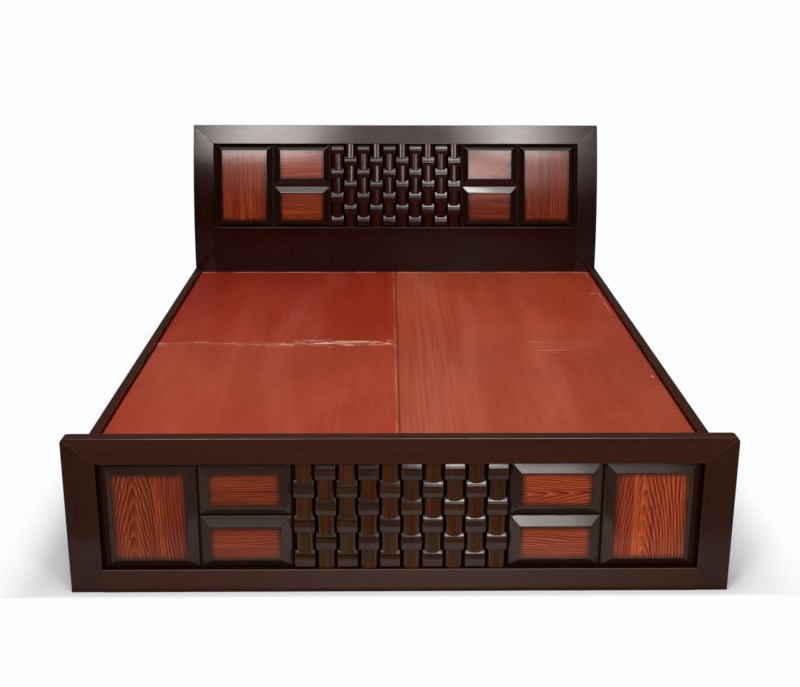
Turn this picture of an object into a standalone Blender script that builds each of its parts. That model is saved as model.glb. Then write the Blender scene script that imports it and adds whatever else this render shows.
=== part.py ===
"""King-size storage bed: carved headboard and footboard, and a box base with three hinged lids.

Metres, +Z up. The floor is Z = 0, the footboard faces -Y and the headboard stands at +Y.
Both end boards are modelled upright from their front face (Y = 0) and the headboard is then bent back.
"""
import math
from dataclasses import dataclass

import bmesh
import bpy
from mathutils import Matrix, Vector

for item in list(bpy.data.objects):
    bpy.data.objects.remove(item, do_unlink=True)

# Fits
GAP = 0.0003                    # between pieces that touch
EDGE_ROUND = 0.002              # worn edges of the framing and the boards

# Whole bed
BED_WIDTH = 1.880               # over the side rails
BOX_LENGTH = 1.980              # clear length between footboard and headboard
RAIL_TOP = 0.369                # top edge of the side rails
END_THICKNESS = 0.036           # framing of the headboard and footboard

# Footboard
FOOT_HEIGHT = 0.477
FOOT_TOP_RAIL = 0.077
FOOT_BOTTOM_RAIL = 0.071
FOOT_CORNER_RADIUS = 0.014
FOOT_WEAVE_ROWS = 6

# Headboard: upright up to the side rails' top, then an arc that leans back
HEAD_RISE = 0.6715              # along the curved front, above the side rails
HEAD_RADIUS = 2.100
HEAD_TOP_RAIL = 0.0875
HEAD_PLAIN_RISE = 0.193         # plain lower board, above the side rails
HEAD_BOARD_CLEARANCE = 0.060    # lower board, above the floor
HEAD_CORNER_RADIUS = 0.004
HEAD_WEAVE_ROWS = 7
HEAD_FACETS = 10

# Framing and panels of both ends
STILE_WIDTH = 0.092
RECESS_DEPTH = 0.019            # from the frame's front to the back panel
BACK_PANEL = 0.012
RABBET_WIDTH = 0.014            # the back panel's hold behind the frame
PANEL_MARGIN = 0.0105           # tall panel to stile
PANEL_SPACING = 0.007           # between panels
PANEL_END_GAP = 0.003           # panels to the frame's rails
SMALL_PANEL_WIDTH = 0.2575
PANEL_RELIEF = 0.017
PANEL_EDGE = 0.002              # upright edge below the bevel
PANEL_BEVEL = 0.028

# Carved basket weave
WEAVE_COLUMNS = 10
WEAVE_PITCH = 0.0604            # from column to column
WEAVE_PLATE = 0.005
STRAND_CROWN = 0.012            # strand above its plate
STRAND_SINK = 0.002             # strand's root in its plate
FLAT_END_GAP = 0.001            # lying strand to its cell's sides
FLAT_SIDE_GAP = 0.0045          # lying strand to its cell's top and bottom
UPRIGHT_SIDE_GAP = 0.0063       # upright strand to its cell's sides
UPRIGHT_REACH = 0.002           # upright strand past its cell's top and bottom
STRAND_SIDES = 16

# Box base
RAIL_THICKNESS = 0.025
RAIL_CLEARANCE = 0.045          # side rails, above the floor
PARTITION = 0.025
CLEAT_WIDTH = 0.030
CLEAT_HEIGHT = 0.040
BEARER_WIDTH = 0.040
BEARER_HEIGHT = 0.025
FLOOR_BOARD = 0.012
LID_BEARER_HEIGHT = 0.080
FOOT_BLOCK = 0.060

# Lids
LID_DROP = 0.020                # lid tops below the rails' top
LID_THICKNESS = 0.018
LID_SEAM = 0.003
FRONT_LID_LENGTH = 1.035        # footboard to the left cross seam

# Butt hinges
HINGE_LENGTH = 0.066
LEAF = 0.0012
LEAF_SHORTFALL = 0.002          # leaf's lower edge above the lid's underside
KNUCKLE_RADIUS = 0.003
KNUCKLE_GAP = 0.0005
PIN_RADIUS = 0.0012
PIN_CLEARANCE = 0.0004
HINGE_SIDES = 16
HINGE_END_INSET = 0.150         # hinge middle to the lid's end

# Corner brackets
BRACKET_FLANGE = 0.055
BRACKET_THICKNESS = 0.003
BRACKET_HEIGHT = 0.110

# Worked-out places
OUTER = BED_WIDTH / 2
INNER = OUTER - RAIL_THICKNESS
RECESS = OUTER - STILE_WIDTH
HEAD_LEAN = HEAD_RISE / HEAD_RADIUS
HEAD_DEPTH = HEAD_RADIUS - (HEAD_RADIUS - END_THICKNESS) * math.cos(HEAD_LEAN)
FOOT_FRONT = -(END_THICKNESS + BOX_LENGTH + HEAD_DEPTH) / 2
BOX_FOOT = FOOT_FRONT + END_THICKNESS
BOX_HEAD = BOX_FOOT + BOX_LENGTH
BOX_MIDDLE = (BOX_FOOT + BOX_HEAD) / 2
LID_TOP = RAIL_TOP - LID_DROP
LID_UNDER = LID_TOP - LID_THICKNESS
SUPPORT_TOP = LID_UNDER - GAP
BEARER_LOW = RAIL_CLEARANCE + GAP
FLOOR_LOW = BEARER_LOW + BEARER_HEIGHT + GAP
FLOOR_TOP = FLOOR_LOW + FLOOR_BOARD
CROSS_SEAM = BOX_FOOT + FRONT_LID_LENGTH
AXIS_INSET = KNUCKLE_RADIUS + 2 * GAP          # hinge axis to the rail's inner face
AXIS_RISE = KNUCKLE_RADIUS + GAP               # hinge axis above the lid's top
LID_EDGE = LEAF - GAP                          # lid's edge beyond the hinge axis

PARTS = bpy.data.collections.new("storage_bed")
CUTTERS = bpy.data.collections.new("cutters")
bpy.context.scene.collection.children.link(PARTS)
bpy.context.scene.collection.children.link(CUTTERS)

# Colour, roughness and metallic value of each finish
FINISHES = {
    "dark_stain": ((0.030, 0.012, 0.008), 0.32, 0.0),
    "red_veneer": ((0.300, 0.055, 0.022), 0.35, 0.0),
    "lid_laminate": ((0.300, 0.055, 0.028), 0.45, 0.0),
    "raw_ply": ((0.420, 0.260, 0.140), 0.65, 0.0),
    "raw_pine": ((0.520, 0.350, 0.190), 0.65, 0.0),
    "bronzed_steel": ((0.055, 0.045, 0.040), 0.40, 0.9),
}


def finish(name, kind):
    """The piece's own material."""
    colour, roughness, metallic = FINISHES[kind]
    material = bpy.data.materials.new(name + "_finish")
    material.use_nodes = True
    shader = material.node_tree.nodes["Principled BSDF"]
    shader.inputs["Base Color"].default_value = (*colour, 1.0)
    shader.inputs["Roughness"].default_value = roughness
    shader.inputs["Metallic"].default_value = metallic
    return material


def axis_empty(name, location):
    """An empty that carries a group of pieces."""
    empty = bpy.data.objects.new(name, None)
    empty.location = location
    PARTS.objects.link(empty)
    return empty


def add_piece(name, mesh, kind, parent=None, location=(0, 0, 0), turn=0.0):
    """One finished sub-part, with its own object and material."""
    piece = bpy.data.objects.new(name, mesh)
    if not mesh.materials:
        mesh.materials.append(None)
    piece.material_slots[0].link = "OBJECT"
    piece.material_slots[0].material = finish(name, kind)
    piece.parent = parent
    piece.location = location
    piece.rotation_euler.z = turn
    PARTS.objects.link(piece)
    return piece


def add_cutter(name, mesh, parent=None, location=(0, 0, 0)):
    """A hidden tool for a Boolean."""
    cutter = bpy.data.objects.new(name, mesh)
    cutter.parent = parent
    cutter.location = location
    cutter.hide_render = True
    cutter.display_type = "WIRE"
    CUTTERS.objects.link(cutter)
    return cutter


def boolean(piece, tool, operation):
    """A Boolean modifier left on the piece."""
    modifier = piece.modifiers.new(tool.name, "BOOLEAN")
    modifier.operation = operation
    modifier.object = tool
    modifier.solver = "EXACT"


def round_edges(piece):
    """Eased edges on a finished board."""
    modifier = piece.modifiers.new("eased_edges", "BEVEL")
    modifier.width = EDGE_ROUND
    modifier.segments = 2
    modifier.limit_method = "ANGLE"
    modifier.angle_limit = math.radians(35)


def block(x, y, z):
    """A box between (low, high) pairs on the three axes."""
    bm = bmesh.new()
    bmesh.ops.create_cube(bm, size=1.0)
    for vert in bm.verts:
        for axis, (low, high) in enumerate((x, y, z)):
            vert.co[axis] = high if vert.co[axis] > 0 else low
    return bm


def rod(radius, y, sides=HINGE_SIDES):
    """A round bar along Y, between a (low, high) pair."""
    bm = bmesh.new()
    low, high = y
    place = Matrix.Translation((0, (low + high) / 2, 0)) @ Matrix.Rotation(math.pi / 2, 4, "X")
    bmesh.ops.create_cone(bm, cap_ends=True, segments=sides, radius1=radius, radius2=radius,
                          depth=high - low, matrix=place)
    return bm


def to_mesh(name, bm):
    """Turn a bmesh into mesh data, with its faces pointing out."""
    bmesh.ops.recalc_face_normals(bm, faces=bm.faces)
    mesh = bpy.data.meshes.new(name)
    bm.to_mesh(mesh)
    bm.free()
    return mesh


def board(name, x, y, z, kind, parent=None, eased=False):
    """A plain board, placed by its middle."""
    ends = (x, y, z)
    middle = Vector([(low + high) / 2 for low, high in ends])
    local = [(low - m, high - m) for (low, high), m in zip(ends, middle)]
    place = middle - parent.location if parent else middle
    piece = add_piece(name, to_mesh(name, block(*local)), kind, parent, place)
    if eased:
        round_edges(piece)
    return piece


def notch(piece, name, x, y, z):
    """Cut a box-shaped notch, given in world places, out of a board."""
    boolean(piece, add_cutter(name, to_mesh(name, block(x, y, z))), "DIFFERENCE")


def fused(name, base, *others):
    """One mesh out of several overlapping shapes, or shapes cut out, each a (bmesh, operation) pair."""
    body = add_cutter(name, to_mesh(name, base))
    tools = []
    for number, (bm, operation) in enumerate(others):
        tool = add_cutter(f"{name}_{number}", to_mesh(f"{name}_{number}", bm))
        boolean(body, tool, operation)
        tools.append(tool)
    graph = bpy.context.evaluated_depsgraph_get()
    mesh = bpy.data.meshes.new_from_object(body.evaluated_get(graph))
    for tool in [body, *tools]:
        bpy.data.objects.remove(tool, do_unlink=True)
    mesh.name = name
    return mesh


@dataclass
class EndBoard:
    """What differs between the footboard and the headboard, measured up the front face."""
    name: str
    stile: str
    lower: str
    height: float
    recess_low: float
    recess_high: float
    lower_edge: float
    corner_radius: float
    weave_rows: int
    first_lies: bool            # the weave's top left strand lies flat
    curved: bool
    parent: bpy.types.Object

    def mesh(self, name, bm):
        """The shape as it sits on this end: bent back if the end is curved."""
        if self.curved:
            bend_back(bm)
        return to_mesh(name, bm)

    def add(self, name, bm, kind):
        full_name = f"{self.name}_{name}"
        return add_piece(full_name, self.mesh(full_name, bm), kind, self.parent)


def bend_back(bm):
    """Slice an upright piece into facets and lay it on the headboard's arc."""
    for step in range(HEAD_FACETS):
        geometry = bm.verts[:] + bm.edges[:] + bm.faces[:]
        bmesh.ops.bisect_plane(bm, geom=geometry, plane_no=(0, 0, 1),
                               plane_co=(0, 0, RAIL_TOP + step * HEAD_RISE / HEAD_FACETS))
    for vert in bm.verts:
        rise = vert.co.z - RAIL_TOP
        if rise > 0:
            radius = HEAD_RADIUS - vert.co.y
            vert.co.y = HEAD_RADIUS - radius * math.cos(rise / HEAD_RADIUS)
            vert.co.z = RAIL_TOP + radius * math.sin(rise / HEAD_RADIUS)


def round_top_corner(bm, x, z, radius):
    """Round the corner seen from the front at x, z."""
    corner = [edge for edge in bm.edges
              if all(abs(v.co.x - x) < GAP and abs(v.co.z - z) < GAP for v in edge.verts)]
    bmesh.ops.bevel(bm, geom=corner, offset=radius, segments=6, profile=0.5, affect="EDGES")


def saw(bm, point, normal):
    """Saw along a plane, keep the part behind its normal, and close the cut."""
    geometry = bm.verts[:] + bm.edges[:] + bm.faces[:]
    cut = bmesh.ops.bisect_plane(bm, geom=geometry, plane_co=point, plane_no=normal, clear_outer=True)
    rim = [part for part in cut["geom_cut"] if isinstance(part, bmesh.types.BMEdge)]
    bmesh.ops.contextual_create(bm, geom=rim)


def frame_end(end):
    """Stiles and rails, mitred at the top corners and rabbeted behind for the back panel."""
    depth = (0, END_THICKNESS)
    inner = Vector((RECESS, 0, end.recess_high))
    across = Vector((OUTER, 0, end.height)) - inner
    square = Vector((-across.z, 0, across.x)).normalized()      # up and inwards from the mitre
    hold = RABBET_WIDTH + GAP
    rabbet = end.mesh(f"{end.name}_rabbet", block(
        (-RECESS - hold, RECESS + hold), (RECESS_DEPTH, 2 * END_THICKNESS),
        (end.recess_low - hold, end.recess_high + hold)))
    tool = add_cutter(f"{end.name}_rabbet", rabbet, end.parent)

    pieces = []
    for side, sign in (("left", -1), ("right", 1)):
        edges = sorted((sign * RECESS, sign * OUTER))
        stile = block(edges, depth, (0, end.height))
        round_top_corner(stile, sign * OUTER, end.height, end.corner_radius)
        face = Vector((sign * square.x, 0, square.z))
        joint = Vector((sign * inner.x, 0, inner.z))
        saw(stile, joint - face * GAP / 2, face)
        pieces.append(end.add(f"{side}_{end.stile}", stile, "dark_stain"))

    top = block((-OUTER, OUTER), depth, (end.recess_high, end.height))
    for sign in (-1, 1):
        round_top_corner(top, sign * OUTER, end.height, end.corner_radius)
        face = Vector((sign * square.x, 0, square.z))
        joint = Vector((sign * inner.x, 0, inner.z))
        saw(top, joint + face * GAP / 2, -face)
    pieces.append(end.add("top_rail", top, "dark_stain"))

    low = block((-RECESS + GAP, RECESS - GAP), depth, (end.lower_edge, end.recess_low))
    pieces.append(end.add(end.lower, low, "dark_stain"))
    for piece in pieces:
        round_edges(piece)
        boolean(piece, tool, "DIFFERENCE")

    back = block((-RECESS - RABBET_WIDTH, RECESS + RABBET_WIDTH),
                 (RECESS_DEPTH + GAP, RECESS_DEPTH + GAP + BACK_PANEL),
                 (end.recess_low - RABBET_WIDTH, end.recess_high + RABBET_WIDTH))
    end.add("back_panel", back, "raw_ply")


def raised_panel(end, name, x, z):
    """A block whose edges are bevelled on all four sides up to a flat field."""
    bm = block(x, (RECESS_DEPTH - PANEL_EDGE, RECESS_DEPTH), z)
    bmesh.ops.recalc_face_normals(bm, faces=bm.faces)
    front = [face for face in bm.faces if face.normal.y < -0.5]
    bmesh.ops.inset_region(bm, faces=front, thickness=PANEL_BEVEL, use_even_offset=True)
    for vert in front[0].verts:
        vert.co.y = RECESS_DEPTH - PANEL_RELIEF
    end.add(name, bm, "red_veneer")


def panels_of_end(end):
    """A tall panel and two small ones on each side of the weave."""
    low = end.recess_low + PANEL_END_GAP
    high = end.recess_high - PANEL_END_GAP
    middle = (low + high) / 2
    small_in = WEAVE_COLUMNS * WEAVE_PITCH / 2 + PANEL_SPACING
    small_out = small_in + SMALL_PANEL_WIDTH
    tall = (small_out + PANEL_SPACING, RECESS - PANEL_MARGIN)
    for side, sign in (("left", -1), ("right", 1)):
        tall_x = sorted(sign * x for x in tall)
        small_x = sorted((sign * small_in, sign * small_out))
        raised_panel(end, f"tall_panel_{side}", tall_x, (low, high))
        raised_panel(end, f"small_panel_{side}_lower", small_x, (low, middle - PANEL_SPACING / 2))
        raised_panel(end, f"small_panel_{side}_upper", small_x, (middle + PANEL_SPACING / 2, high))


def strand(bm, x, z, lies):
    """One half-round strand: an elliptic rod whose back is flattened into the plate."""
    surface = RECESS_DEPTH - WEAVE_PLATE
    made = bmesh.ops.create_cone(bm, cap_ends=True, segments=STRAND_SIDES, radius1=1, radius2=1, depth=2)
    along, across = (x, z) if lies else (z, x)
    for vert in made["verts"]:
        side = (across[0] + across[1]) / 2 + vert.co.x * (across[1] - across[0]) / 2
        length = along[1] if vert.co.z > 0 else along[0]
        depth = surface + min(vert.co.y * STRAND_CROWN, STRAND_SINK)
        vert.co = (length, depth, side) if lies else (side, depth, length)


def weave_of_end(end):
    """The carved basket weave: lying and upright strands by turns, fused with one plate."""
    left = -WEAVE_COLUMNS * WEAVE_PITCH / 2
    low = end.recess_low + GAP
    high = end.recess_high - GAP
    pitch = (high - low) / end.weave_rows
    strands = bmesh.new()
    for row in range(end.weave_rows):
        top = high - row * pitch
        for column in range(WEAVE_COLUMNS):
            start = left + column * WEAVE_PITCH
            lies = ((row + column) % 2 == 0) == end.first_lies
            if lies:
                x = (start + FLAT_END_GAP, start + WEAVE_PITCH - FLAT_END_GAP)
                z = (top - pitch + FLAT_SIDE_GAP, top - FLAT_SIDE_GAP)
            else:
                x = (start + UPRIGHT_SIDE_GAP, start + WEAVE_PITCH - UPRIGHT_SIDE_GAP)
                z = (max(top - pitch - UPRIGHT_REACH, low + GAP), min(top + UPRIGHT_REACH, high - GAP))
            strand(strands, x, z, lies)
    plate = block((left, -left), (RECESS_DEPTH - WEAVE_PLATE, RECESS_DEPTH), (low, high))
    panel = end.add("weave_panel", plate, "dark_stain")
    name = f"{end.name}_strands"
    boolean(panel, add_cutter(name, end.mesh(name, strands), end.parent), "UNION")


def build_end(end):
    frame_end(end)
    panels_of_end(end)
    weave_of_end(end)


def side_rails():
    """The long rails and the cleats that carry the lids along them."""
    for side, sign in (("left", -1), ("right", 1)):
        board(f"{side}_side_rail", sorted((sign * INNER, sign * OUTER)),
              (BOX_FOOT + GAP, BOX_HEAD - GAP), (RAIL_CLEARANCE, RAIL_TOP), "dark_stain", eased=True)
        edges = sorted((sign * (INNER - GAP), sign * (INNER - GAP - CLEAT_WIDTH)))
        board(f"{side}_lid_cleat", edges,
              (BOX_FOOT + CLEAT_WIDTH + 2 * GAP, BOX_HEAD - CLEAT_WIDTH - 2 * GAP),
              (SUPPORT_TOP - CLEAT_HEIGHT, SUPPORT_TOP), "raw_pine")
    across = (-INNER + GAP, INNER - GAP)
    upright = (SUPPORT_TOP - CLEAT_HEIGHT, SUPPORT_TOP)
    board("foot_lid_cleat", across, (BOX_FOOT + GAP, BOX_FOOT + GAP + CLEAT_WIDTH), upright, "raw_pine")
    board("head_lid_cleat", across, (BOX_HEAD - GAP - CLEAT_WIDTH, BOX_HEAD - GAP), upright, "raw_pine")


def partitions():
    """The boards that divide the box and carry the seams, notched round the cleats."""
    half = PARTITION / 2
    notch_low = SUPPORT_TOP - CLEAT_HEIGHT - GAP
    notch_z = (notch_low, RAIL_TOP)
    foot_notch = (BOX_FOOT - GAP, BOX_FOOT + CLEAT_WIDTH + 2 * GAP)
    head_notch = (BOX_HEAD - CLEAT_WIDTH - 2 * GAP, BOX_HEAD + GAP)
    centre = board("centre_partition", (-half, half), (BOX_FOOT + GAP, BOX_HEAD - GAP),
                   (FLOOR_TOP + GAP, SUPPORT_TOP), "raw_ply")
    notch(centre, "centre_foot_notch", (-PARTITION, PARTITION), foot_notch, notch_z)
    notch(centre, "centre_head_notch", (-PARTITION, PARTITION), head_notch, notch_z)

    cleat_side = INNER - CLEAT_WIDTH - 2 * GAP
    seam = (CROSS_SEAM - half, CROSS_SEAM + half)
    seam_notch = (CROSS_SEAM - PARTITION, CROSS_SEAM + PARTITION)
    cross = board("left_cross_partition", (-INNER + GAP, -half - GAP), seam,
                  (FLOOR_TOP + GAP, SUPPORT_TOP), "raw_ply")
    notch(cross, "left_cross_notch", (-OUTER, -cleat_side), seam_notch, notch_z)

    bearer = board("right_cross_bearer", (half + GAP, INNER - GAP), (BOX_MIDDLE - half, BOX_MIDDLE + half),
                   (SUPPORT_TOP - LID_BEARER_HEIGHT, SUPPORT_TOP), "raw_pine")
    notch(bearer, "right_bearer_notch", (cleat_side, OUTER),
          (BOX_MIDDLE - PARTITION, BOX_MIDDLE + PARTITION), notch_z)


def box_floor():
    """Two floor boards on three cross bearers, and the foot under the middle one."""
    places = {
        "foot": BOX_FOOT + GAP + BEARER_WIDTH / 2,
        "middle": BOX_MIDDLE,
        "head": BOX_HEAD - GAP - BEARER_WIDTH / 2,
    }
    for name, y in places.items():
        board(f"floor_bearer_{name}", (-INNER + GAP, INNER - GAP),
              (y - BEARER_WIDTH / 2, y + BEARER_WIDTH / 2), (BEARER_LOW, BEARER_LOW + BEARER_HEIGHT), "raw_pine")
    for side, sign in (("left", -1), ("right", 1)):
        board(f"{side}_floor_board", sorted((sign * GAP / 2, sign * (INNER - GAP))),
              (BOX_FOOT + GAP, BOX_HEAD - GAP), (FLOOR_LOW, FLOOR_TOP), "raw_ply")
    half = FOOT_BLOCK / 2
    board("centre_support_foot", (-half, half), (BOX_MIDDLE - half, BOX_MIDDLE + half),
          (0, BEARER_LOW - GAP), "raw_pine")


def corner_brackets():
    """Steel angles that join the side rails to the end boards, inside the box."""
    middle = (FLOOR_TOP + SUPPORT_TOP - CLEAT_HEIGHT) / 2
    height = (middle - BRACKET_HEIGHT / 2, middle + BRACKET_HEIGHT / 2)
    for end, wall, into in (("foot", BOX_FOOT, 1), ("head", BOX_HEAD, -1)):
        for side, sign in (("left", -1), ("right", 1)):
            name = f"{end}_{side}_bracket"
            rail_x = sorted((sign * (INNER - GAP), sign * (INNER - GAP - BRACKET_THICKNESS)))
            end_x = sorted((sign * (INNER - GAP), sign * (INNER - GAP - BRACKET_FLANGE)))
            end_y = sorted((wall + into * GAP, wall + into * (GAP + BRACKET_THICKNESS)))
            rail_y = sorted((wall + into * GAP, wall + into * (GAP + BRACKET_FLANGE)))
            mesh = fused(name, block(rail_x, rail_y, height), (block(end_x, end_y, height), "UNION"))
            add_piece(name, mesh, "bronzed_steel")


def hinge_meshes():
    """The two leaves of a butt hinge, about its axis, with the lid towards +X."""
    half = HINGE_LENGTH / 2
    third = HINGE_LENGTH / 6
    low = -AXIS_RISE - LID_THICKNESS + LEAF_SHORTFALL
    rail_x = (-AXIS_INSET + GAP, -AXIS_INSET + GAP + LEAF)
    lid_x = (LID_EDGE - GAP - LEAF, LID_EDGE - GAP)
    bore = PIN_RADIUS + PIN_CLEARANCE
    rail_leaf = fused(
        "hinge_rail_leaf",
        block(rail_x, (-half, half), (low, 0)),
        (block((-1, 1), (-third, third), (-AXIS_RISE, 1)), "DIFFERENCE"),
        (rod(KNUCKLE_RADIUS, (-half, -third)), "UNION"),
        (rod(KNUCKLE_RADIUS, (third, half)), "UNION"),
        (rod(PIN_RADIUS, (-third - KNUCKLE_GAP, third + KNUCKLE_GAP)), "UNION"))
    lid_leaf = fused(
        "hinge_lid_leaf",
        block(lid_x, (-half, half), (low, -AXIS_RISE)),
        (block(lid_x, (-third + KNUCKLE_GAP, third - KNUCKLE_GAP),
               (-AXIS_RISE - GAP, -(bore + KNUCKLE_RADIUS) / 2)), "UNION"),
        (rod(KNUCKLE_RADIUS, (-third + KNUCKLE_GAP, third - KNUCKLE_GAP)), "UNION"),
        (rod(bore, (-half, half)), "DIFFERENCE"))
    return rail_leaf, lid_leaf


def hinged_lid(name, side, y, hinge_count, leaves):
    """A lid on its hinges, carried by an empty on the hinge axis."""
    sign = -1 if side == "left" else 1
    turn = 0.0 if side == "left" else math.pi
    axis_x = sign * (INNER - AXIS_INSET)
    axis_z = LID_TOP + AXIS_RISE
    axis = axis_empty(f"{name}_axis", (axis_x, (y[0] + y[1]) / 2, axis_z))
    edges = sorted((sign * LID_SEAM / 2, axis_x - sign * LID_EDGE))
    board(name, edges, y, (LID_UNDER, LID_TOP), "lid_laminate", axis, eased=True)
    rail_leaf, lid_leaf = leaves
    span = y[1] - y[0] - 2 * HINGE_END_INSET
    for number in range(hinge_count):
        place = y[0] + HINGE_END_INSET + span * number / (hinge_count - 1)
        hinge = f"{name}_hinge_{number + 1}"
        add_piece(f"{hinge}_rail_leaf", rail_leaf, "bronzed_steel", None, (axis_x, place, axis_z), turn)
        add_piece(f"{hinge}_lid_leaf", lid_leaf, "bronzed_steel", axis, (0, place - axis.location.y, 0), turn)


def lids():
    """Two short lids on the left and one long lid on the right."""
    leaves = hinge_meshes()
    foot = BOX_FOOT + LID_SEAM
    head = BOX_HEAD - LID_SEAM
    hinged_lid("left_front_lid", "left", (foot, CROSS_SEAM - LID_SEAM / 2), 2, leaves)
    hinged_lid("left_rear_lid", "left", (CROSS_SEAM + LID_SEAM / 2, head), 2, leaves)
    hinged_lid("right_lid", "right", (foot, head), 3, leaves)


build_end(EndBoard(
    name="foot", stile="stile", lower="bottom_rail", height=FOOT_HEIGHT,
    recess_low=FOOT_BOTTOM_RAIL, recess_high=FOOT_HEIGHT - FOOT_TOP_RAIL, lower_edge=0,
    corner_radius=FOOT_CORNER_RADIUS, weave_rows=FOOT_WEAVE_ROWS, first_lies=False, curved=False,
    parent=axis_empty("footboard", (0, FOOT_FRONT, 0))))
build_end(EndBoard(
    name="head", stile="post", lower="lower_board", height=RAIL_TOP + HEAD_RISE,
    recess_low=RAIL_TOP + HEAD_PLAIN_RISE, recess_high=RAIL_TOP + HEAD_RISE - HEAD_TOP_RAIL,
    lower_edge=HEAD_BOARD_CLEARANCE, corner_radius=HEAD_CORNER_RADIUS, weave_rows=HEAD_WEAVE_ROWS,
    first_lies=True, curved=True, parent=axis_empty("headboard", (0, BOX_HEAD, 0))))
side_rails()
partitions()
box_floor()
corner_brackets()
lids()
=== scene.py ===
"""A storage bed in its finishes: dark lacquered ends, veneered panels, a carved weave and red lids."""
import math
import random
from types import SimpleNamespace

import bmesh
import bpy
from mathutils import Matrix, Vector


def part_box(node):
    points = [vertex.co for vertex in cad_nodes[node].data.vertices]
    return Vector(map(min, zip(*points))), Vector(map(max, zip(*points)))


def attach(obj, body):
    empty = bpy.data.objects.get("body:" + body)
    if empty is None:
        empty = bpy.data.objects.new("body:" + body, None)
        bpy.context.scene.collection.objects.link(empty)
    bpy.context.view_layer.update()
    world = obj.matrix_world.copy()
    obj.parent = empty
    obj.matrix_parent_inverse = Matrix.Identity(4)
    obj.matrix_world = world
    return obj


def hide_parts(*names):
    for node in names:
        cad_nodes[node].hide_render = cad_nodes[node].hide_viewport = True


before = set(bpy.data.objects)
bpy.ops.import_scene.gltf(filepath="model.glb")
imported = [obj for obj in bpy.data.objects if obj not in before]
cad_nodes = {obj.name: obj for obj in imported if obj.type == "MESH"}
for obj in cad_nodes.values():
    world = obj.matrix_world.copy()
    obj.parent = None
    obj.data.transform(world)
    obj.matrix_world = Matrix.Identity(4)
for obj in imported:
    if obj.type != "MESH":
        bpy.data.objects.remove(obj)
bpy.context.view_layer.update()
bpy.ops.object.select_all(action="DESELECT")


# Camera
# It stands at the foot end, in the middle and above the bed, and looks down on it.
# The frame is moved down a little, as the photograph's is.
CAMERA_PLACE = (-0.03593, -3.63092, 1.72700)
CAMERA_TURN = math.radians(0.694)
CAMERA_DIP = math.radians(14.054)
CAMERA_ROLL = math.radians(0.180)
SENSOR_WIDTH = 36.0
LENS = 45.419
FRAME_SHIFT = -0.15
bpy.ops.object.camera_add(location=CAMERA_PLACE)
camera = bpy.context.object
camera.name = "photo_camera"
heading = Matrix.Rotation(-CAMERA_TURN, 3, "Z") @ Matrix.Rotation(math.pi / 2 - CAMERA_DIP, 3, "X")
camera.rotation_euler = (heading @ Matrix.Rotation(CAMERA_ROLL, 3, "Z")).to_euler()
camera.data.sensor_width = SENSOR_WIDTH
camera.data.lens = LENS
camera.data.shift_y = FRAME_SHIFT
bpy.context.scene.camera = camera
bpy.context.scene.view_settings.view_transform = "Standard"


# Studio
# A plain pale floor that runs out to white, and soft boxes overhead, above the camera and low behind it.
# One behind the bed doesn't show in the lacquer. A dark card and a paler strip on the floor, and curtains
# round the set, show only in the lacquer: they keep the white room from greying the wood.
HALF_WIDTH = 0.940
BED_FRONT = -1.08
BED_BACK = 1.0
FLOOR_SIZE = 400.0
FLOOR_COLOUR = (0.63, 0.655, 0.67, 1)
FLOOR_WHITE = (0.985, 0.985, 0.985, 1)
FADE_START = 0.08
FADE_END = 0.30
FRONT_HASTE = 9.0


def plug(tree, node, inputs):
    """Give a node's inputs their values; a value may be another node's output."""
    for key, value in inputs.items():
        if isinstance(value, bpy.types.NodeSocket):
            tree.links.new(value, node.inputs[key])
        else:
            node.inputs[key].default_value = value


def add_node(tree, kind, inputs=None, **settings):
    """One shader node with its settings and inputs."""
    made = tree.nodes.new("ShaderNode" + kind)
    for key, value in settings.items():
        setattr(made, key, value)
    plug(tree, made, inputs or {})
    return made


def object_place(tree):
    """Where a point lies on the object, in metres."""
    return add_node(tree, "TexCoord").outputs["Object"]


def xyz(tree, vector):
    """The three parts of a vector."""
    return add_node(tree, "SeparateXYZ", {"Vector": vector}).outputs


def maths(tree, operation, *values):
    """A Math node on values or sockets."""
    return add_node(tree, "Math", dict(enumerate(values)), operation=operation).outputs[0]


def times(tree, first, *others):
    """Values or sockets multiplied together."""
    for other in others:
        first = maths(tree, "MULTIPLY", first, other)
    return first


def spread(tree, value, start, end, low=0.0, high=1.0):
    """A value that rises smoothly from low to high between start and end."""
    inputs = {"Value": value, "From Min": start, "From Max": end, "To Min": low, "To Max": high}
    return add_node(tree, "MapRange", inputs, interpolation_type="SMOOTHSTEP").outputs["Result"]


def blend(tree, share, first, second, mode="MIX"):
    """Mix two colours."""
    made = add_node(tree, "Mix", {"Factor": share}, data_type="RGBA", blend_type=mode)
    for key, colour in ((6, first), (7, second)):
        plug(tree, made, {key: (*colour, 1) if isinstance(colour, tuple) else colour})
    return made.outputs[2]


def new_finish(name):
    """An empty material: its node tree and its shader."""
    material = bpy.data.materials.new(name)
    material.use_nodes = True
    return material, material.node_tree, material.node_tree.nodes["Principled BSDF"]


def looks_on(tree):
    """1 on rays that look at the set, straight or by way of gloss or glass; 0 on those that light it."""
    rays = add_node(tree, "LightPath").outputs
    seen = maths(tree, "MAXIMUM", rays["Is Camera Ray"], rays["Is Glossy Ray"])
    return maths(tree, "MAXIMUM", seen, rays["Is Transmission Ray"])


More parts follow.
